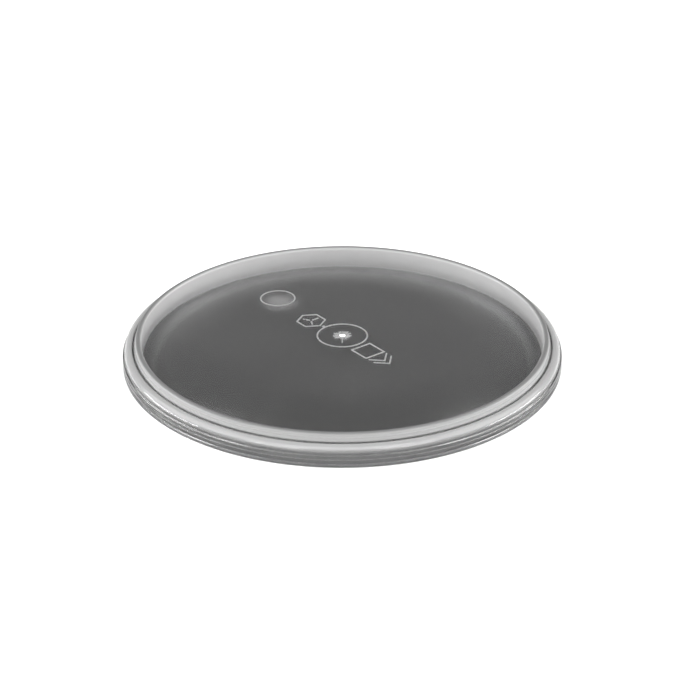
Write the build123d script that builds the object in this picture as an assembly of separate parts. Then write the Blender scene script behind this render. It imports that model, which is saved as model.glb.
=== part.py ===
"""Shallow round petri dish: a clear lid with a raised rim and a stepped skirt over a low dish.

Millimetres. +Z is up. The origin is the centre of the dish's underside, which stands on the table.
Every section below is drawn as (radius, height) and turned about Z.
"""

from build123d import *
import os
from math import asin, cos, degrees, radians, sin

# ---- lid, overall
OVERALL_RADIUS = 50.0
LID_TOP = 6.8
LID_FOOT = 0.2
PANEL_THICKNESS = 0.6
WALL_THICKNESS = 0.6

# ---- lid panel: level in the middle, then one arc down to the rim
PANEL_LEVEL_RADIUS = 26.0
PANEL_EDGE_RADIUS = 45.6
PANEL_TOP = 6.0
PANEL_EDGE_TOP = 1.5
PANEL_FOOT_ROUND = 0.3

# ---- lid rim: a narrow ridge, a groove outside it, then a rounded shoulder
RIDGE_RADIUS = 46.4
RIDGE_ROUND = 0.65
RIDGE_HOLLOW_TOP = 5.2
RIDGE_HOLLOW_INNER_RADIUS = 46.25
RIDGE_HOLLOW_OUTER_RADIUS = 46.74
GROOVE_RADIUS = 47.55
GROOVE_BOTTOM = 4.6
SHOULDER_CENTRE_RADIUS = 48.1
SHOULDER_CENTRE_HEIGHT = 3.2
SHOULDER_ROUND = 1.6
SHOULDER_START_ANGLE = 95.0

# ---- lid skirt below the shoulder
SKIRT_STEP_HEIGHT = 3.0
SKIRT_STEP_DROP = 0.15
SKIRT_BOTTOM_INSIDE_RADIUS = 49.35
SKIRT_LINE_HEIGHTS = (2.05, 1.0)
SKIRT_LINE_DEPTH = 0.15
SKIRT_LINE_HALF_WIDTH = 0.1
FOOT_CHAMFER = 0.1

# ---- dish
DISH_RADIUS = 48.25
DISH_WALL = 0.75
DISH_FLOOR = 0.55
SEAT_HEIGHT = 4.15
DISH_RIM_CHAMFER = 0.1
DISH_FOOT_CHAMFER = 0.4
DISH_INSIDE_ROUND = 0.4

# ---- raised marks on the panel
MARK_HEIGHT = 0.15
MARK_ROOT = 0.3
MARK_LINE = 0.35
GATE_RING_RADIUS = 5.7
GATE_SPOT_RADIUS = 0.9
GATE_STEM_LENGTH = 3.6
PIN_RING_RADIUS = 4.0
PIN_RING_CENTRE = (-15.2, 19.2)
HEXAGON_CENTRE = (-7.2, 7.5)
HEXAGON_RADIUS = 3.3
HEXAGON_BAR_SHARE = 0.62
TILE_CENTRE = (7.4, -9.7)
TILE_SIZE = 5.2
TILE_SHIFT = 2.6
CHEVRON_SIZE = 3.6
CHEVRON_GAP = 1.7
MARK_TURN = -52.0


def on_circle(centre, radius, angle):
    """The point at an angle in degrees on a circle in the section plane."""
    return (centre[0] + radius * cos(radians(angle)), centre[1] + radius * sin(radians(angle)))


def panel_arc():
    """Centre, radius and sweep in degrees of the arc that takes the panel down to its edge."""
    run = PANEL_EDGE_RADIUS - PANEL_LEVEL_RADIUS
    drop = PANEL_TOP - PANEL_EDGE_TOP
    radius = (run**2 + drop**2) / (2 * drop)
    return (PANEL_LEVEL_RADIUS, PANEL_TOP - radius), radius, degrees(asin(run / radius))


def draw_panel_surface(offset):
    """Draws the panel's surface from its axis outwards, offset upwards, and returns both ends."""
    centre, radius, sweep = panel_arc()
    start = (0, PANEL_TOP + offset)
    level_end = (PANEL_LEVEL_RADIUS, PANEL_TOP + offset)
    middle = on_circle(centre, radius + offset, 90 - sweep / 2)
    end = on_circle(centre, radius + offset, 90 - sweep)
    Line(start, level_end)
    ThreePointArc(level_end, middle, end)
    return start, end


def skirt_outline():
    """The skirt's outside from the shoulder to the foot: a step, then a band with two fine lines."""
    shoulder_end = SHOULDER_CENTRE_RADIUS + SHOULDER_ROUND
    points = [(shoulder_end, SHOULDER_CENTRE_HEIGHT), (shoulder_end, SKIRT_STEP_HEIGHT)]
    points.append((OVERALL_RADIUS, SKIRT_STEP_HEIGHT - SKIRT_STEP_DROP))
    for height in SKIRT_LINE_HEIGHTS:
        points.append((OVERALL_RADIUS, height + SKIRT_LINE_HALF_WIDTH))
        points.append((OVERALL_RADIUS - SKIRT_LINE_DEPTH, height))
        points.append((OVERALL_RADIUS, height - SKIRT_LINE_HALF_WIDTH))
    points.append((OVERALL_RADIUS, LID_FOOT + FOOT_CHAMFER))
    points.append((OVERALL_RADIUS - FOOT_CHAMFER, LID_FOOT))
    points.append((SKIRT_BOTTOM_INSIDE_RADIUS, LID_FOOT))
    return points


def lid_shell():
    """The turned part of the lid, with no marks."""
    ridge = (RIDGE_RADIUS, LID_TOP - RIDGE_ROUND)
    shoulder = (SHOULDER_CENTRE_RADIUS, SHOULDER_CENTRE_HEIGHT)
    inner_round = SHOULDER_ROUND - WALL_THICKNESS
    seat_angle = degrees(asin((SEAT_HEIGHT - SHOULDER_CENTRE_HEIGHT) / inner_round))
    ridge_inside = (ridge[0] - RIDGE_ROUND, ridge[1])
    ridge_outside = (ridge[0] + RIDGE_ROUND, ridge[1])
    rim_inside_radius = PANEL_EDGE_RADIUS + WALL_THICKNESS
    panel_foot = PANEL_EDGE_TOP - PANEL_THICKNESS

    with BuildPart() as part:
        with BuildSketch(Plane.XZ):
            with BuildLine():
                axis_top, edge_top = draw_panel_surface(0)
                Line(edge_top, ridge_inside)
                ThreePointArc(ridge_inside, (ridge[0], LID_TOP), ridge_outside)
                shoulder_start = on_circle(shoulder, SHOULDER_ROUND, SHOULDER_START_ANGLE)
                shoulder_middle = on_circle(shoulder, SHOULDER_ROUND, SHOULDER_START_ANGLE / 2)
                Polyline(ridge_outside, (GROOVE_RADIUS, GROOVE_BOTTOM), shoulder_start)
                skirt = skirt_outline()
                ThreePointArc(shoulder_start, shoulder_middle, skirt[0])
                Polyline(*skirt)
                inside_start = on_circle(shoulder, inner_round, 0)
                seat_end = on_circle(shoulder, inner_round, seat_angle)
                Line(skirt[-1], inside_start)
                ThreePointArc(inside_start, on_circle(shoulder, inner_round, seat_angle / 2), seat_end)
                axis_under, edge_under = draw_panel_surface(-PANEL_THICKNESS)
                Polyline(
                    seat_end,
                    (GROOVE_RADIUS - WALL_THICKNESS, SEAT_HEIGHT),
                    (RIDGE_HOLLOW_OUTER_RADIUS, RIDGE_HOLLOW_TOP),
                    (RIDGE_HOLLOW_INNER_RADIUS, RIDGE_HOLLOW_TOP),
                    (rim_inside_radius, panel_foot + PANEL_FOOT_ROUND),
                    (rim_inside_radius - PANEL_FOOT_ROUND, panel_foot),
                    edge_under,
                )
                Line(axis_under, axis_top)
            make_face()
        revolve(axis=Axis.Z)
    return part.part


def mark_blank():
    """A thin skin over the panel that every mark is cut from, so that marks follow the panel."""
    with BuildPart() as part:
        with BuildSketch(Plane.XZ):
            with BuildLine():
                top_start, top_end = draw_panel_surface(MARK_HEIGHT)
                root_start, root_end = draw_panel_surface(-MARK_ROOT)
                Line(top_start, root_start)
                Line(top_end, root_end)
            make_face()
        revolve(axis=Axis.Z)
    return part.part


def ring(radius):
    """A circular line."""
    return Circle(radius + MARK_LINE / 2) - Circle(radius - MARK_LINE / 2)


def outline(shape_of, size):
    """A line round a shape that takes one size."""
    return shape_of(size + MARK_LINE / 2) - shape_of(size - MARK_LINE / 2)


def gate_mark():
    """The spot where the plastic was fed in, with a short flow line towards the front."""
    stem = Pos(0, -GATE_STEM_LENGTH / 2) * Rectangle(MARK_LINE, GATE_STEM_LENGTH)
    return Circle(GATE_SPOT_RADIUS) + stem


def hexagon_mark():
    """A six-sided line with three bars that meet in its middle."""
    mark = outline(lambda size: RegularPolygon(size, 6), HEXAGON_RADIUS)
    bar = HEXAGON_RADIUS * HEXAGON_BAR_SHARE
    for angle in (90, 210, 330):
        mark += Rot(0, 0, angle) * Pos(bar / 2, 0) * Rectangle(bar, MARK_LINE)
    return mark


def tile_mark():
    """A square line with two chevrons beside it."""
    mark = Pos(-TILE_SHIFT, 0) * outline(lambda size: Rectangle(size, size), TILE_SIZE)
    for step in (0, 1):
        for side in (45, -45):
            arm = Pos(CHEVRON_SIZE / 2, 0) * Rectangle(CHEVRON_SIZE, MARK_LINE)
            mark += Pos(TILE_SHIFT + CHEVRON_GAP * (1.5 - step), 0) * Rot(0, 0, 180 - side) * arm
    return mark


def marks():
    """Every raised mark on the panel, as one group of lines that follow its surface."""
    plans = [
        ring(GATE_RING_RADIUS),
        gate_mark(),
        Pos(*PIN_RING_CENTRE) * ring(PIN_RING_RADIUS),
        Pos(*HEXAGON_CENTRE) * Rot(0, 0, MARK_TURN) * hexagon_mark(),
        Pos(*TILE_CENTRE) * Rot(0, 0, MARK_TURN) * tile_mark(),
    ]
    blank = mark_blank()
    return [extrude(plan, LID_TOP) & blank for plan in plans]


def make_lid():
    """The lid: one clear moulding."""
    lid = lid_shell()
    for mark in marks():
        lid += mark
    return lid


def make_dish():
    """The dish: a flat floor and a low wall that the lid rests on."""
    inside = DISH_RADIUS - DISH_WALL
    round_centre = (inside - DISH_INSIDE_ROUND, DISH_FLOOR + DISH_INSIDE_ROUND)
    round_start = on_circle(round_centre, DISH_INSIDE_ROUND, 0)
    round_end = on_circle(round_centre, DISH_INSIDE_ROUND, -90)
    with BuildPart() as part:
        with BuildSketch(Plane.XZ):
            with BuildLine():
                Polyline(
                    (0, 0),
                    (DISH_RADIUS - DISH_FOOT_CHAMFER, 0),
                    (DISH_RADIUS, DISH_FOOT_CHAMFER),
                    (DISH_RADIUS, SEAT_HEIGHT - DISH_RIM_CHAMFER),
                    (DISH_RADIUS - DISH_RIM_CHAMFER, SEAT_HEIGHT),
                    (inside + DISH_RIM_CHAMFER, SEAT_HEIGHT),
                    (inside, SEAT_HEIGHT - DISH_RIM_CHAMFER),
                    round_start,
                )
                ThreePointArc(round_start, on_circle(round_centre, DISH_INSIDE_ROUND, -45), round_end)
                Polyline(round_end, (0, DISH_FLOOR), (0, 0))
            make_face()
        revolve(axis=Axis.Z)
    return part.part


os.makedirs("parts", exist_ok=True)
export_step(make_lid(), "parts/lid.step")
export_step(make_dish(), "parts/dish.step")
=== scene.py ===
"""Looks of a shallow petri dish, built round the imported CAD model. Metres, +Z up."""

import math
import random

import bmesh
import bpy
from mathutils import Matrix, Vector


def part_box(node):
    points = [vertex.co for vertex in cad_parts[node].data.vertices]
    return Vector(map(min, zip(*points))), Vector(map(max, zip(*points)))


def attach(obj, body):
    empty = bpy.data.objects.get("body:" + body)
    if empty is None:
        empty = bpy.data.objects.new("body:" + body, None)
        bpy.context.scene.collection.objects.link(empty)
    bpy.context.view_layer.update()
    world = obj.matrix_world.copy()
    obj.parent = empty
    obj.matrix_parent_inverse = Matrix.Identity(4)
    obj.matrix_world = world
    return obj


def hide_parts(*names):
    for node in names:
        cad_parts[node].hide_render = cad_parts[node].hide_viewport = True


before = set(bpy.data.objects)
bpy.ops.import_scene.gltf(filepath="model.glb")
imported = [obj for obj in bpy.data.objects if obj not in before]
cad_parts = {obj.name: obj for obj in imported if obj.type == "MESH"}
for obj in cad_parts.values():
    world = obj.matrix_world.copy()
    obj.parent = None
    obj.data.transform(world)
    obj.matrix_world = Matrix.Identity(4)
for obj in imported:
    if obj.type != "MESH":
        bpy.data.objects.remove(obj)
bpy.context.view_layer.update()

MM = 0.001

# ---- turned sections: the whole object is round, so every shape is a section turned about Z
TURN_STEPS = 360
ROUND_STEP = math.radians(7.5)
LEAST_TURN = math.radians(1)
PANEL_STEPS = 40
SECTION_SHARP_ANGLE = math.radians(35)

# ---- lid, in millimetres: the same section as the CAD model's, with its edges rounded
OVERALL_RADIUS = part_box("lid")[1].x / MM
LID_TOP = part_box("lid")[1].z / MM
LID_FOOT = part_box("lid")[0].z / MM
PANEL_TOP = 6.0
PANEL_THICKNESS = 0.6
PANEL_LEVEL_RADIUS = 26.0
PANEL_EDGE_RADIUS = 45.6
PANEL_EDGE_TOP = 1.5
WALL_THICKNESS = 0.6
RIDGE_RADIUS = 46.4
RIDGE_ROUND = 0.65
RIDGE_HOLLOW_TOP = 5.2
RIDGE_HOLLOW_RADII = (46.25, 46.74)
GROOVE_RADIUS = 47.55
GROOVE_BOTTOM = 4.6
SHOULDER_CENTRE = (48.1, 3.2)
SHOULDER_ROUND = 1.6
SHOULDER_START = math.radians(95)
STEP_TOP = 3.0
STEP_DROP = 0.15
FOOT_INSIDE_RADIUS = 49.35
FINE_LINE_HEIGHTS = (2.05, 1.0)
FINE_LINE_DEPTH = 0.15
FINE_LINE_HALF_WIDTH = 0.1

# ---- how far the lid's edges are rounded, in millimetres
PANEL_ARC_END = PANEL_EDGE_RADIUS - 0.3
PANEL_EDGE_ROUND = 0.2
PANEL_FOOT_ROUND = 0.3
GROOVE_ROUND = 0.06
STEP_TOP_ROUND = 0.05
STEP_FOOT_ROUND = 0.12
FINE_LINE_ROUND = 0.04
FOOT_ROUND = 0.1
FOOT_INSIDE_ROUND = 0.08
SEAT_ROUND = 0.08
RIDGE_HOLLOW_ROUND = 0.1

# ---- dish, in millimetres: the same section as the CAD model's, with its edges rounded
DISH_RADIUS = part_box("dish")[1].x / MM
DISH_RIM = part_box("dish")[1].z / MM
DISH_WALL = 0.75
DISH_FLOOR = 0.55
DISH_FOOT_CHAMFER = 0.4
DISH_FOOT_ROUND = 0.2
DISH_RIM_ROUND = 0.12
DISH_INSIDE_ROUND = 0.4

# ---- raised marks on the lid's panel, in millimetres, as the CAD model has them
MARK_HEIGHT = 0.15
MARK_LINE = 0.35
MARK_SINK = 0.05
MARK_POINT_GAP = 0.4
MARK_SHARP_ANGLE = math.radians(50)
MITRE_LIMIT = 0.5
# half sections of a raised line and of a dome: shares of the half width, and of the height
LINE_PROFILE = ((1.0, 0.5), (0.7, 0.88))
DOME_PROFILE = ((0.8, 0.6), (0.45, 0.92))
GATE_RING_RADIUS = 5.7
GATE_RING_SIDES = 96
GATE_SPOT_RADIUS = 0.9
GATE_STEM_LENGTH = 3.6
PIN_RING_RADIUS = 4.0
PIN_RING_CENTRE = (-15.2, 19.2)
PIN_RING_SIDES = 72
HEXAGON_CENTRE = (-7.2, 7.5)
HEXAGON_RADIUS = 3.3
HEXAGON_BAR = 0.62 * HEXAGON_RADIUS
HEXAGON_BAR_SHARES = (0.16, 1)
TILE_CENTRE = (7.4, -9.7)
TILE_SIZE = 5.2
TILE_SHIFT = 2.6
CHEVRON_SIZE = 3.6
CHEVRON_GAP = 1.7
CHEVRON_ANGLE = math.radians(45)
MARK_TURN = math.radians(-52)
GATE_BEAD_SIDES = 22
GATE_BEAD_SPREAD = (0.72, 1.0)
GATE_BEAD_SEED = 5
GATE_NEEDLES = 30
GATE_NEEDLE_WIDTH = 0.16
GATE_NEEDLE_REACH = 2.3
GATE_NEEDLE_STARTS = (1.05, 1.25)
GATE_NEEDLE_ENDS = (0.6, 1.0)
GATE_NEEDLE_SEED = 8
GATE_RING_BLOB = 0.42
GATE_RING_BLOB_SIDES = 16
GATE_RING_BLOB_HEIGHT = 0.8 * MARK_HEIGHT
GATE_RING_BLOB_ANGLE = math.radians(133)


def corner_arc(before, corner, after, radius):
    """Points of the arc that rounds one corner of a section."""
    corner = Vector(corner[:2])
    back = (Vector(before[:2]) - corner).normalized()
    ahead = (Vector(after[:2]) - corner).normalized()
    turn = math.pi - back.angle(ahead)
    if radius <= 0 or turn < LEAST_TURN:
        return [tuple(corner)]
    reach = radius * math.tan(turn / 2)
    centre = corner + (back + ahead).normalized() * (radius / math.cos(turn / 2))
    start = corner + back * reach - centre
    side = 1 if start.cross(corner + ahead * reach - centre) > 0 else -1
    steps = max(2, math.ceil(turn / ROUND_STEP))
    points = []
    for step in range(steps + 1):
        angle = side * turn * step / steps
        x = start.x * math.cos(angle) - start.y * math.sin(angle)
        y = start.x * math.sin(angle) + start.y * math.cos(angle)
        points.append((centre.x + x, centre.y + y))
    return points


def rounded(corners):
    """A section's points from its corners, each (radius, height) or (radius, height, rounding)."""
    points = []
    for index, corner in enumerate(corners):
        rounding = corner[2] if len(corner) > 2 else 0
        if rounding and 0 < index < len(corners) - 1:
            points += corner_arc(corners[index - 1], corner, corners[index + 1], rounding)
        else:
            points.append(corner[:2])
    return points


def panel_height(radius):
    """Height of the panel's upper face at a distance from the axis."""
    run = PANEL_EDGE_RADIUS - PANEL_LEVEL_RADIUS
    drop = PANEL_TOP - PANEL_EDGE_TOP
    curve = (run**2 + drop**2) / (2 * drop)
    out = max(0.0, radius - PANEL_LEVEL_RADIUS)
    return PANEL_TOP - curve + math.sqrt(curve**2 - out**2)


def panel_points(offset, last_radius):
    """The panel's section from the axis outwards, offset in height."""
    points = []
    for step in range(PANEL_STEPS + 1):
        radius = last_radius * step / PANEL_STEPS
        points.append((radius, panel_height(radius) + offset))
    return points


def turned(name, section, material):
    """A closed solid from a section that starts and ends on the axis, turned about Z."""
    vertices = [(0, 0, section[0][1] * MM), (0, 0, section[-1][1] * MM)]
    rows = section[1:-1]
    for step in range(TURN_STEPS):
        angle = 2 * math.pi * step / TURN_STEPS
        for radius, height in rows:
            vertices.append((radius * math.cos(angle) * MM, radius * math.sin(angle) * MM, height * MM))
    faces = []
    for step in range(TURN_STEPS):
        here = 2 + step * len(rows)
        there = 2 + (step + 1) % TURN_STEPS * len(rows)
        faces.append((0, here, there))
        faces.append((1, there + len(rows) - 1, here + len(rows) - 1))
        for row in range(len(rows) - 1):
            faces.append((here + row, here + row + 1, there + row + 1, there + row))
    mesh = bpy.data.meshes.new(name)
    mesh.from_pydata(vertices, [], faces)
    mesh.validate()
    mesh.update()
    mesh.shade_smooth()
    mesh.set_sharp_from_angle(angle=SECTION_SHARP_ANGLE)
    mesh.materials.append(material)
    piece = bpy.data.objects.new(name, mesh)
    bpy.context.scene.collection.objects.link(piece)
    return piece


def arc(centre, radius, start, end):
    """Points of an arc of a section, between two angles."""
    steps = math.ceil(abs(end - start) / ROUND_STEP)
    angles = [start + (end - start) * step / steps for step in range(steps + 1)]
    return [(centre[0] + radius * math.cos(angle), centre[1] + radius * math.sin(angle)) for angle in angles]


def lid_section():
    """The lid's section, over the top from the axis to the foot and back underneath."""
    top = panel_points(0, PANEL_ARC_END)
    ridge = arc((RIDGE_RADIUS, LID_TOP - RIDGE_ROUND), RIDGE_ROUND, math.pi, 0)
    shoulder = arc(SHOULDER_CENTRE, SHOULDER_ROUND, SHOULDER_START, 0)
    skirt_radius = SHOULDER_CENTRE[0] + SHOULDER_ROUND
    section = [top[-1], (PANEL_EDGE_RADIUS, PANEL_EDGE_TOP, PANEL_EDGE_ROUND)] + ridge
    section += [(GROOVE_RADIUS, GROOVE_BOTTOM, GROOVE_ROUND)] + shoulder
    section.append((skirt_radius, STEP_TOP, STEP_TOP_ROUND))
    section.append((OVERALL_RADIUS, STEP_TOP - STEP_DROP, STEP_FOOT_ROUND))
    for height in FINE_LINE_HEIGHTS:
        section.append((OVERALL_RADIUS, height + FINE_LINE_HALF_WIDTH, FINE_LINE_ROUND))
        section.append((OVERALL_RADIUS - FINE_LINE_DEPTH, height, FINE_LINE_ROUND))
        section.append((OVERALL_RADIUS, height - FINE_LINE_HALF_WIDTH, FINE_LINE_ROUND))
    inner_round = SHOULDER_ROUND - WALL_THICKNESS
    seat_angle = math.asin((DISH_RIM - SHOULDER_CENTRE[1]) / inner_round)
    section += [(OVERALL_RADIUS, LID_FOOT, FOOT_ROUND), (FOOT_INSIDE_RADIUS, LID_FOOT, FOOT_INSIDE_ROUND)]
    section += arc(SHOULDER_CENTRE, inner_round, 0, seat_angle)
    section += [
        (GROOVE_RADIUS - WALL_THICKNESS, DISH_RIM, SEAT_ROUND),
        (RIDGE_HOLLOW_RADII[1], RIDGE_HOLLOW_TOP, RIDGE_HOLLOW_ROUND),
        (RIDGE_HOLLOW_RADII[0], RIDGE_HOLLOW_TOP, RIDGE_HOLLOW_ROUND),
        (PANEL_EDGE_RADIUS + WALL_THICKNESS, PANEL_EDGE_TOP - PANEL_THICKNESS, PANEL_FOOT_ROUND),
    ]
    under = panel_points(-PANEL_THICKNESS, PANEL_ARC_END)
    section.append(under[-1])
    return top[:-1] + rounded(section) + under[-2::-1]


def dish_section():
    """The dish's section, over its floor from the axis, round the wall and back along its underside."""
    inside = DISH_RADIUS - DISH_WALL
    corners = [
        (0, 0),
        (DISH_RADIUS - DISH_FOOT_CHAMFER, 0, DISH_FOOT_ROUND),
        (DISH_RADIUS, DISH_FOOT_CHAMFER, DISH_FOOT_ROUND),
        (DISH_RADIUS, DISH_RIM, DISH_RIM_ROUND),
        (inside, DISH_RIM, DISH_RIM_ROUND),
        (inside, DISH_FLOOR, DISH_INSIDE_ROUND),
        (0, DISH_FLOOR),
    ]
    return rounded(corners)[::-1]


def set_down(points, centre, turn=0.0):
    """Points of a mark's plan, turned and moved to its place on the panel."""
    placed = []
    for x, y in points:
        placed.append((centre[0] + x * math.cos(turn) - y * math.sin(turn),
                       centre[1] + x * math.sin(turn) + y * math.cos(turn)))
    return placed


def circle_points(radius, sides, start=0.0):
    """Evenly spaced points round a circle."""
    angles = [start + 2 * math.pi * side / sides for side in range(sides)]
    return [(radius * math.cos(angle), radius * math.sin(angle)) for angle in angles]


def divided(points, closed):
    """The same line with more points along it, so that it can follow the panel."""
    ends = points[1:] + points[:1] if closed else points[1:]
    fine = []
    for start, end in zip(points, ends):
        pieces = max(1, round(math.dist(start, end) / MARK_POINT_GAP))
        for piece in range(pieces):
            share = piece / pieces
            fine.append((start[0] + (end[0] - start[0]) * share, start[1] + (end[1] - start[1]) * share))
    if not closed:
        fine.append(points[-1])
    return fine


def on_panel(x, y, above):
    """A point above the panel's upper face, in metres."""
    return (x * MM, y * MM, (panel_height(math.hypot(x, y)) + above) * MM)


def add_line(shape, points, closed, width=MARK_LINE):
    """Adds one raised line, a closed bar with a rounded top, to a mesh being made."""
    half = width / 2
    rise = [(half, -MARK_SINK)] + [(across * half, up * MARK_HEIGHT) for across, up in LINE_PROFILE]
    profile = [(-across, up) for across, up in rise] + [(0, MARK_HEIGHT)] + rise[::-1]
    path = divided(points, closed)
    rows = []
    for index, point in enumerate(path):
        before = path[index - 1] if closed or index else point
        after = path[(index + 1) % len(path)] if closed or index + 1 < len(path) else point
        into = (Vector(point) - Vector(before)).normalized()
        out = (Vector(after) - Vector(point)).normalized()
        along = (into + out).normalized()
        mitre = 1 / max(MITRE_LIMIT, along.dot(out if out.length else into))
        rows.append([shape.verts.new(on_panel(point[0] - along.y * across * mitre,
                                              point[1] + along.x * across * mitre, up))
                     for across, up in profile])
    pairs = list(zip(rows, rows[1:] + rows[:1])) if closed else list(zip(rows, rows[1:]))
    for here, there in pairs:
        for side in range(len(profile)):
            following = (side + 1) % len(profile)
            shape.faces.new((here[side], here[following], there[following], there[side]))
    if not closed:
        shape.faces.new(rows[0][::-1])
        shape.faces.new(rows[-1])


def add_dome(shape, centre, radii, height):
    """Adds one low closed dome whose outline has the given radii, evenly spaced."""
    levels = [(1.0, -MARK_SINK), (1.0, 0.0)] + [(share, up * height) for share, up in DOME_PROFILE]
    rings = []
    for share, up in levels:
        ring = []
        for side, radius in enumerate(radii):
            angle = 2 * math.pi * side / len(radii)
            ring.append(shape.verts.new(on_panel(centre[0] + radius * share * math.cos(angle),
                                                 centre[1] + radius * share * math.sin(angle), up)))
        rings.append(ring)
    top = shape.verts.new(on_panel(*centre, height))
    for below, above in zip(rings, rings[1:]):
        for side in range(len(radii)):
            following = (side + 1) % len(radii)
            shape.faces.new((below[side], below[following], above[following], above[side]))
    for side in range(len(radii)):
        shape.faces.new((rings[-1][side], rings[-1][(side + 1) % len(radii)], top))
    shape.faces.new(rings[0][::-1])


def finished(name, shape, material):
    """A piece from the closed shells in a bmesh."""
    bmesh.ops.recalc_face_normals(shape, faces=shape.faces)
    mesh = bpy.data.meshes.new(name)
    shape.to_mesh(mesh)
    shape.free()
    mesh.shade_smooth()
    mesh.set_sharp_from_angle(angle=MARK_SHARP_ANGLE)
    mesh.materials.append(material)
    piece = bpy.data.objects.new(name, mesh)
    bpy.context.scene.collection.objects.link(piece)
    return piece


def make_pin_ring(material):
    """The ring left by the pin that pushes the lid out of its mould."""
    shape = bmesh.new()
    add_line(shape, set_down(circle_points(PIN_RING_RADIUS, PIN_RING_SIDES), PIN_RING_CENTRE), True)
    return finished("pin_ring_mark", shape, material)


def make_gate_ring(material):
    """The ring round the gate."""
    shape = bmesh.new()
    add_line(shape, circle_points(GATE_RING_RADIUS, GATE_RING_SIDES), True)
    blob_radius = GATE_RING_RADIUS + MARK_LINE / 2 + GATE_RING_BLOB
    blob = (blob_radius * math.cos(GATE_RING_BLOB_ANGLE), blob_radius * math.sin(GATE_RING_BLOB_ANGLE))
    add_dome(shape, blob, [GATE_RING_BLOB] * GATE_RING_BLOB_SIDES, GATE_RING_BLOB_HEIGHT)
    return finished("gate_ring_mark", shape, material)


def make_gate_bead(material):
    """The gate: an uneven bead where the plastic was fed in."""
    shape = bmesh.new()
    draw = random.Random(GATE_BEAD_SEED)
    radii = [GATE_SPOT_RADIUS * draw.uniform(*GATE_BEAD_SPREAD) for _ in range(GATE_BEAD_SIDES)]
    add_dome(shape, (0, 0), radii, MARK_HEIGHT)
    return finished("gate_bead_mark", shape, material)


def make_gate_needles(material):
    """Fine needles round the gate's bead, and a short flow line towards the front."""
    shape = bmesh.new()
    draw = random.Random(GATE_NEEDLE_SEED)
    add_line(shape, [(0, -GATE_SPOT_RADIUS), (0, -GATE_STEM_LENGTH)], False)
    for needle in range(1, GATE_NEEDLES):
        angle = 2 * math.pi * needle / GATE_NEEDLES - math.pi / 2
        along = Vector((math.cos(angle), math.sin(angle)))
        start = along * GATE_SPOT_RADIUS * draw.uniform(*GATE_NEEDLE_STARTS)
        end = along * draw.uniform(*GATE_NEEDLE_ENDS) * GATE_NEEDLE_REACH
        add_line(shape, [tuple(start), tuple(end)], False, GATE_NEEDLE_WIDTH)
    return finished("gate_needles_mark", shape, material)


def make_hexagon(material):
    """A plain six-sided line round three bars."""
    shape = bmesh.new()
    add_line(shape, set_down(circle_points(HEXAGON_RADIUS, 6), HEXAGON_CENTRE, MARK_TURN), True)
    for angle in (math.radians(90), math.radians(210), math.radians(330)):
        along = Vector((math.cos(angle), math.sin(angle))) * HEXAGON_BAR
        bar = [tuple(along * share) for share in HEXAGON_BAR_SHARES]
        add_line(shape, set_down(bar, HEXAGON_CENTRE, MARK_TURN), False)
    return finished("hexagon_mark", shape, material)


def make_tile(material):
    """A plain square line beside two chevrons."""
    shape = bmesh.new()
    half = TILE_SIZE / 2
    square = [(-TILE_SHIFT - half, -half), (-TILE_SHIFT + half, -half),
              (-TILE_SHIFT + half, half), (-TILE_SHIFT - half, half)]
    add_line(shape, set_down(square, TILE_CENTRE, MARK_TURN), True)
    reach = CHEVRON_SIZE * math.sin(CHEVRON_ANGLE)
    for tip in (TILE_SHIFT + CHEVRON_GAP * 1.5, TILE_SHIFT + CHEVRON_GAP * 0.5):
        chevron = [(tip - reach, reach), (tip, 0), (tip - reach, -reach)]
        add_line(shape, set_down(chevron, TILE_CENTRE, MARK_TURN), False)
    return finished("tile_mark", shape, material)


def principled(name):
    """A new material and its Principled node."""
    material = bpy.data.materials.new(name)
    material.use_nodes = True
    return material, material.node_tree.nodes["Principled BSDF"]


def math_node(tree, operation, *values):
    """A Math node whose inputs are numbers or sockets, and its output."""
    node = tree.nodes.new("ShaderNodeMath")
    node.operation = operation
    for socket, value in zip(node.inputs, values):
        if isinstance(value, (int, float)):
            socket.default_value = value
        else:
            tree.links.new(value, socket)
    return node.outputs[0]


def smooth_between(tree, value, low, high, out_low=0.0, out_high=1.0):
    """A smooth step of a socket between two values."""
    node = tree.nodes.new("ShaderNodeMapRange")
    node.interpolation_type = "SMOOTHSTEP"
    tree.links.new(value, node.inputs["Value"])
    node.inputs["From Min"].default_value = low
    node.inputs["From Max"].default_value = high
    node.inputs["To Min"].default_value = out_low
    node.inputs["To Max"].default_value = out_high
    return node.outputs["Result"]


def grey(tree, value):
    """A grey colour from one value."""
    node = tree.nodes.new("ShaderNodeCombineColor")
    for channel in node.inputs:
        tree.links.new(value, channel)
    return node.outputs[0]


def place(tree):
    """Sockets for the distance from the axis, the height and the position, in a piece's own metres."""
    coordinates = tree.nodes.new("ShaderNodeTexCoord").outputs["Object"]
    split = tree.nodes.new("ShaderNodeSeparateXYZ")
    tree.links.new(coordinates, split.inputs[0])
    square = math_node(tree, "ADD", math_node(tree, "POWER", split.outputs[0], 2.0),
                       math_node(tree, "POWER", split.outputs[1], 2.0))
    return math_node(tree, "SQRT", square), split.outputs[2], coordinates


# ---- clear plastic, which is cloudy at the ridge and the shoulder: haze is 1 where no light passes
HAZE_RIDGE = 0.85
HAZE_RIDGE_FOOT = 0.6
HAZE_SHOULDER = 0.75
HAZE_MARGIN = 0.04
HAZE_PIN_GLOW = 0.1
HAZE_GATE = 0.85

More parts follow.
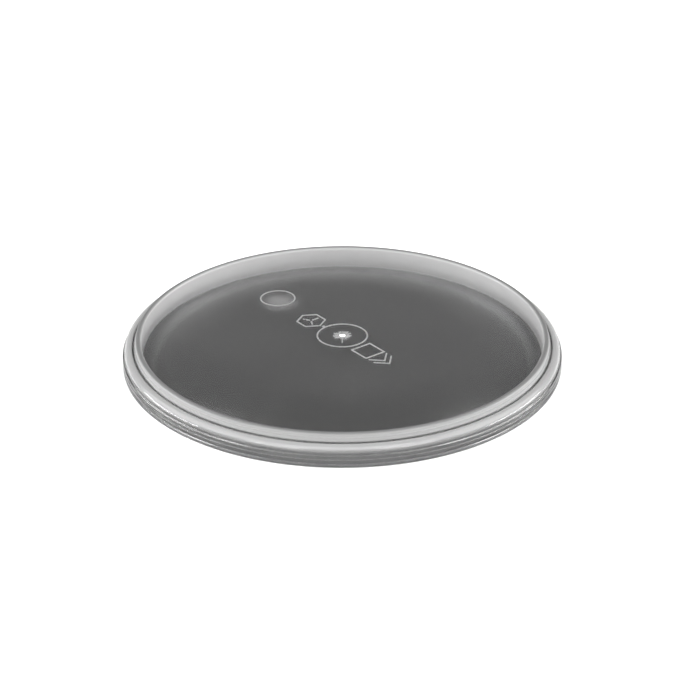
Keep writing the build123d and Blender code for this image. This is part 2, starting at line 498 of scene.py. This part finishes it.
# ---- where those zones begin and end, in millimetres from the axis or above the dish's underside
RIDGE_STARTS = (45.5, 45.8)
RIDGE_CLEARS = (46.8, 47.5)
RIDGE_ENDS = (47.36, 47.48)
SHOULDER_STARTS = (47.85, 48.0)
SHOULDER_HEIGHTS = (3.2, 4.8)
MARGIN_STARTS = (44.0, 45.5)
WALL_PAINTED_LIGHT_HEIGHTS = (1.5, 5.5)
WALL_ENDS = (45.9, 46.3)
OUTSIDE_STARTS = (47.3, 47.9)
CREST_PAINTED_SHADE_HEIGHTS = (6.3, 6.7)
FOOT_PAINTED_SHADE_HEIGHTS = (0.4, 1.0)
SKIRT_HEIGHTS = (2.4, 3.4)
SATIN_STARTS = (45.4, 45.8)
POLISH_STARTS = (47.0, 47.5)
GATE_CRYSTAL_REACH = 2.6
PIN_GLOW_CENTRE = (-14.6, 17.4)
PIN_GLOW_REACH = 6.5
DISH_WALL_BLEND = 0.3

# ---- tints, as a grey between 0 and 1
CLEAR_TINT = 0.86
SKIRT_TINT = 0.84
# painted shade: the skirt's tint is darker below 1 mm, down to its foot, standing in for the shade along the
# lid's foot
FOOT_PAINTED_SHADE_TINT = 0.6
CLOUDY_TINT = 0.3
SHOULDER_TINT = 0.16
# painted light: the inner wall's cloudy tint is lighter than that of the outer faces, and lighter still
# towards its foot, against the shade that falls low in the recess
INNER_WALL_PAINTED_LIGHT_TINT = 0.5
INNER_WALL_FOOT_PAINTED_LIGHT_TINT = 0.6
# painted shade: the tint is darkened along the top of the crest, standing in for the dark edge and the tamed
# highlight there
CREST_PAINTED_SHADE = 0.35
DISH_TINTS = (0.042, 0.058)
DISH_WALL_TINT = 0.26

# ---- roughness
PANEL_ROUGHNESS = 0.21
RIDGE_ROUGHNESS = 0.35
SKIRT_ROUGHNESS = 0.07
GRAIN_ROUGHNESS = 0.04
PLASTIC_IOR = 1.5
MARK_ROUGHNESS = (0.25, 0.5)
DISH_ROUGHNESS = (0.28, 0.44)

# ---- noise: scales in waves per metre, detail, and the ranges of its value that are used
PANEL_GRAIN = 900.0
PANEL_WAVES = 70.0
MARK_GRAIN = 2500.0
DISH_GRAIN = 1400.0
DISH_CLOUDS = 45.0
FINE_DETAIL = 3.0
CRYSTAL_GRAIN = (0.42, 0.62)
MARK_CLEARING = (0.35, 0.65)
NOISE_SPREAD = (0.3, 0.7)

# ---- bump: distance in metres, and strength
PANEL_BUMP = (0.0002, 0.12)
MARK_BUMP = (0.00004, 0.5)
DISH_BUMP = (0.00003, 0.35)

# ---- the marks' finishes: tint, and how clear they are where the grain is low and where it is high
MARK_FINISH = (0.5, 0.4, 0.8)
GATE_FINISH = (0.9, 0.0, 0.3)


def noise(tree, coordinates, scale, detail=2.0):
    """A noise texture's value."""
    node = tree.nodes.new("ShaderNodeTexNoise")
    tree.links.new(coordinates, node.inputs["Vector"])
    node.inputs["Scale"].default_value = scale
    node.inputs["Detail"].default_value = detail
    return node.outputs["Fac"]


def add_bump(tree, shader, height, distance, strength):
    """Bump from a height socket."""
    node = tree.nodes.new("ShaderNodeBump")
    node.inputs["Distance"].default_value = distance
    node.inputs["Strength"].default_value = strength
    tree.links.new(height, node.inputs["Height"])
    tree.links.new(node.outputs["Normal"], shader.inputs["Normal"])


def spot(tree, coordinates, centre, reach):
    """One at a point on the panel, falling to zero at a distance. Millimetres."""
    node = tree.nodes.new("ShaderNodeVectorMath")
    node.operation = "DISTANCE"
    tree.links.new(coordinates, node.inputs[0])
    node.inputs[1].default_value = (centre[0] * MM, centre[1] * MM, panel_height(math.hypot(*centre)) * MM)
    return smooth_between(tree, node.outputs["Value"], 0.0, reach * MM, 1.0, 0.0)


def near(tree, value, low, high, out_low=0.0, out_high=1.0):
    """A smooth step between two distances given in millimetres."""
    return smooth_between(tree, value, low * MM, high * MM, out_low, out_high)


def mixed(tree, share, low, high):
    """A value between low, where the share is 0, and high, where it is 1."""
    span = math_node(tree, "SUBTRACT", high, low)
    return math_node(tree, "ADD", low, math_node(tree, "MULTIPLY", share, span))


def rim_haze(tree, radius, height):
    """How cloudy the ridge and the shoulder are; the groove between them and the skirt stay clear."""
    ridge = math_node(tree, "MULTIPLY", near(tree, radius, *RIDGE_STARTS),
                      near(tree, radius, *RIDGE_CLEARS, HAZE_RIDGE, HAZE_RIDGE_FOOT))
    ridge = math_node(tree, "MULTIPLY", ridge, near(tree, radius, *RIDGE_ENDS, 1.0, 0.0))
    shoulder = math_node(tree, "MULTIPLY", near(tree, radius, *SHOULDER_STARTS),
                         near(tree, height, *SHOULDER_HEIGHTS, 0.0, HAZE_SHOULDER))
    return math_node(tree, "MAXIMUM", ridge, shoulder)


def panel_haze(tree, coordinates, grain, radius):
    """Haze on the panel: crystals round the gate, a glow inside the pin ring and a pale margin."""
    crystals = math_node(tree, "MULTIPLY", spot(tree, coordinates, (0, 0), GATE_CRYSTAL_REACH),
                         smooth_between(tree, grain, *CRYSTAL_GRAIN, 0.0, HAZE_GATE))
    glow = math_node(tree, "MULTIPLY", spot(tree, coordinates, PIN_GLOW_CENTRE, PIN_GLOW_REACH),
                     HAZE_PIN_GLOW)
    margin = math_node(tree, "MULTIPLY", near(tree, radius, *MARGIN_STARTS, 0.0, HAZE_MARGIN),
                       near(tree, radius, *RIDGE_STARTS, 1.0, 0.0))
    return math_node(tree, "MAXIMUM", crystals, math_node(tree, "MAXIMUM", glow, margin))


def plastic_tint(tree, haze, radius, height):
    """The tint: greyer in the thick skirt and darker where the plastic is cloudy; painted shade darkens the
    skirt's foot and, most of all, the crest, and painted light makes the inner wall paler, most near its
    foot.
    """
    # painted shade: the skirt's tint darkens towards its foot
    foot = near(tree, height, *FOOT_PAINTED_SHADE_HEIGHTS, FOOT_PAINTED_SHADE_TINT, SKIRT_TINT)
    clear = math_node(tree, "MAXIMUM", foot, near(tree, height, *SKIRT_HEIGHTS, 0.0, CLEAR_TINT))
    # painted light: the inner wall is tinted lighter than the outside, most near its foot
    wall = near(tree, height, *WALL_PAINTED_LIGHT_HEIGHTS, INNER_WALL_FOOT_PAINTED_LIGHT_TINT, INNER_WALL_PAINTED_LIGHT_TINT)
    outside = near(tree, radius, *OUTSIDE_STARTS, CLOUDY_TINT, SHOULDER_TINT)
    side = mixed(tree, near(tree, radius, *WALL_ENDS), wall, outside)
    # painted shade: darkens the tint along the top of the crest
    crest = near(tree, height, *CREST_PAINTED_SHADE_HEIGHTS, 1.0, CREST_PAINTED_SHADE)
    return math_node(tree, "MULTIPLY", mixed(tree, haze, clear, side), crest)


def plastic_roughness(tree, grain, radius):
    """Satin on the panel and the ridge, and polished outside the ridge."""
    ridge = near(tree, radius, *SATIN_STARTS, PANEL_ROUGHNESS, RIDGE_ROUGHNESS)
    skirt = mixed(tree, near(tree, radius, *POLISH_STARTS), ridge, SKIRT_ROUGHNESS)
    fine = math_node(tree, "MULTIPLY", math_node(tree, "SUBTRACT", grain, 0.5), GRAIN_ROUGHNESS)
    return math_node(tree, "ADD", skirt, fine)


def clear_plastic():
    """The lid: clear, and cloudy at the ridge and the shoulder."""
    material, shader = principled("clear_plastic")
    tree = material.node_tree
    radius, height, coordinates = place(tree)
    grain = noise(tree, coordinates, PANEL_GRAIN, FINE_DETAIL)
    haze = math_node(tree, "MAXIMUM", rim_haze(tree, radius, height),
                     panel_haze(tree, coordinates, grain, radius))
    tree.links.new(math_node(tree, "SUBTRACT", 1.0, haze), shader.inputs["Transmission Weight"])
    tree.links.new(grey(tree, plastic_tint(tree, haze, radius, height)), shader.inputs["Base Color"])
    tree.links.new(plastic_roughness(tree, grain, radius), shader.inputs["Roughness"])
    add_bump(tree, shader, noise(tree, coordinates, PANEL_WAVES), *PANEL_BUMP)
    shader.inputs["IOR"].default_value = PLASTIC_IOR
    return material


def mark_plastic(name, tint, clear_low, clear_high):
    """The raised marks: the same plastic, with the mould's rough finish."""
    material, shader = principled(name)
    tree = material.node_tree
    grain = noise(tree, place(tree)[2], MARK_GRAIN, FINE_DETAIL)
    clearness = smooth_between(tree, grain, *MARK_CLEARING, clear_low, clear_high)
    roughness = smooth_between(tree, grain, *NOISE_SPREAD, *MARK_ROUGHNESS)
    tree.links.new(clearness, shader.inputs["Transmission Weight"])
    tree.links.new(roughness, shader.inputs["Roughness"])
    add_bump(tree, shader, grain, *MARK_BUMP)
    shader.inputs["Base Color"].default_value = (tint, tint, tint, 1)
    shader.inputs["IOR"].default_value = PLASTIC_IOR
    return material


def smoke_plastic():
    """The dish: dark on its floor, and paler in its wall."""
    material, shader = principled("smoke_plastic")
    tree = material.node_tree
    radius, _, coordinates = place(tree)
    grain = noise(tree, coordinates, DISH_GRAIN, FINE_DETAIL)
    floor_tint = smooth_between(tree, noise(tree, coordinates, DISH_CLOUDS), *NOISE_SPREAD, *DISH_TINTS)
    inside = DISH_RADIUS - DISH_WALL
    wall = near(tree, radius, inside - DISH_WALL_BLEND, inside + DISH_WALL_BLEND)
    roughness = smooth_between(tree, grain, *NOISE_SPREAD, *DISH_ROUGHNESS)
    tree.links.new(grey(tree, mixed(tree, wall, floor_tint, DISH_WALL_TINT)), shader.inputs["Base Color"])
    tree.links.new(roughness, shader.inputs["Roughness"])
    add_bump(tree, shader, grain, *DISH_BUMP)
    return material


# ---- camera, in millimetres
CAMERA_ELEVATION = math.radians(27.4)
CAMERA_DISTANCE = 568.2
SENSOR = 36.0
LENS = 127.6
AIM_RIGHT = 1.75
AIM_UP = 2.02


def make_camera():
    """The camera at the photo's viewing angle."""
    data = bpy.data.cameras.new("camera")
    data.sensor_width = SENSOR
    data.lens = LENS
    camera = bpy.data.objects.new("camera", data)
    bpy.context.scene.collection.objects.link(camera)
    back = Vector((0, -math.cos(CAMERA_ELEVATION), math.sin(CAMERA_ELEVATION)))
    up = Vector((0, math.sin(CAMERA_ELEVATION), math.cos(CAMERA_ELEVATION)))
    right = Vector((1, 0, 0))
    camera.location = (right * AIM_RIGHT + up * AIM_UP + back * CAMERA_DISTANCE) * MM
    camera.rotation_mode = "QUATERNION"
    camera.rotation_quaternion = (-back).to_track_quat("-Z", "Y")
    bpy.context.scene.camera = camera


def area_light(name, azimuth, elevation, size, power):
    """A softbox that faces the object. Azimuth 0 is in front, positive to the right."""
    data = bpy.data.lights.new(name, "AREA")
    data.shape = "RECTANGLE"
    data.size, data.size_y = size
    data.energy = power
    lamp = bpy.data.objects.new(name, data)
    a, e = math.radians(azimuth), math.radians(elevation)
    away = Vector((math.sin(a) * math.cos(e), -math.cos(a) * math.cos(e), math.sin(e)))
    lamp.location = away * LIGHT_DISTANCE
    lamp.rotation_mode = "QUATERNION"
    lamp.rotation_quaternion = (-away).to_track_quat("-Z", "Y")
    bpy.context.scene.collection.objects.link(lamp)


# ---- studio: what the camera sees is white, and what the plastic reflects is greyer
FLOOR_TINT = 0.9
FLOOR_TINT_REFLECTED = 0.55
FLOOR_HALF_SIZE = 4.0
FLOOR_ROUGHNESS = 0.9
SKY_AT_HORIZON = 0.75
SKY_HALF_WAY = 0.36
SKY_OVERHEAD = 0.5
SKY_BEHIND = 0.8
SKY_LOW_RANGE = (0.0, 0.45)
SKY_BEHIND_RANGE = (0.3, 0.9)
SKY_HIGH_RANGE = (0.6, 1.0)
LIGHT_DISTANCE = 1.8
# name, azimuth and elevation in degrees, width and height in metres, power in watts
LIGHTS = (
    ("softbox_left", -37, 36, (0.86, 0.9), 9),
    ("softbox_right", 35, 36, (0.8, 0.9), 9),
    ("softbox_side_left", -95, 46, (2.0, 1.4), 22),
    ("strip_left", -95, 9, (1.3, 0.3), 13),
    ("softbox_side_right", 95, 46, (2.0, 1.4), 22),
    ("strip_right", 95, 9, (1.3, 0.3), 13),
    ("softbox_high", 0, 66, (1.5, 0.9), 16),
)


def seen_by_camera(tree):
    """One for what the camera sees directly, zero for light on its way elsewhere."""
    return tree.nodes.new("ShaderNodeLightPath").outputs["Is Camera Ray"]


def make_sky():
    """A soft room: paler near the horizon and overhead."""
    world = bpy.data.worlds.new("studio")
    bpy.context.scene.world = world
    world.use_nodes = True
    tree = world.node_tree
    direction = tree.nodes.new("ShaderNodeTexCoord").outputs["Generated"]
    split = tree.nodes.new("ShaderNodeSeparateXYZ")
    tree.links.new(direction, split.inputs[0])
    _, behind, up = split.outputs
    low_sky = math_node(tree, "MULTIPLY",
                        smooth_between(tree, up, *SKY_LOW_RANGE, SKY_AT_HORIZON, SKY_HALF_WAY),
                        smooth_between(tree, behind, *SKY_BEHIND_RANGE, 1.0, SKY_BEHIND))
    high_sky = smooth_between(tree, up, *SKY_HIGH_RANGE, 0.0, SKY_OVERHEAD)
    sky = math_node(tree, "MAXIMUM", low_sky, high_sky)
    strength = math_node(tree, "MAXIMUM", sky, seen_by_camera(tree))
    tree.links.new(strength, tree.nodes["Background"].inputs["Strength"])
    tree.nodes["Background"].inputs["Color"].default_value = (1, 1, 1, 1)


def make_floor():
    """A plain pale floor."""
    half = FLOOR_HALF_SIZE
    mesh = bpy.data.meshes.new("floor")
    corners = [(-half, -half, 0), (half, -half, 0), (half, half, 0), (-half, half, 0)]
    mesh.from_pydata(corners, [], [(0, 1, 2, 3)])
    material, shader = principled("floor")
    tree = material.node_tree
    tint = mixed(tree, seen_by_camera(tree), FLOOR_TINT_REFLECTED, FLOOR_TINT)
    tree.links.new(grey(tree, tint), shader.inputs["Base Color"])
    shader.inputs["Roughness"].default_value = FLOOR_ROUGHNESS
    shader.inputs["Specular IOR Level"].default_value = 0.0
    mesh.materials.append(material)
    floor = bpy.data.objects.new("floor", mesh)
    bpy.context.scene.collection.objects.link(floor)


def make_stage():
    """The room, the floor and the lights."""
    make_sky()
    make_floor()
    for light in LIGHTS:
        area_light(*light)
    bpy.context.scene.view_settings.view_transform = "Standard"


lid = turned("lid_moulding", lid_section(), clear_plastic())
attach(lid, "lid")
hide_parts("lid")

dish = turned("dish_moulding", dish_section(), smoke_plastic())
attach(dish, "dish")
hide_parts("dish")

mark_finish = mark_plastic("mark_plastic", *MARK_FINISH)
gate_finish = mark_plastic("gate_plastic", *GATE_FINISH)
makers = (make_pin_ring, make_hexagon, make_gate_ring, make_gate_needles, make_tile)
for mark in [make_mark(mark_finish) for make_mark in makers] + [make_gate_bead(gate_finish)]:
    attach(mark, "lid")

make_camera()
make_stage()
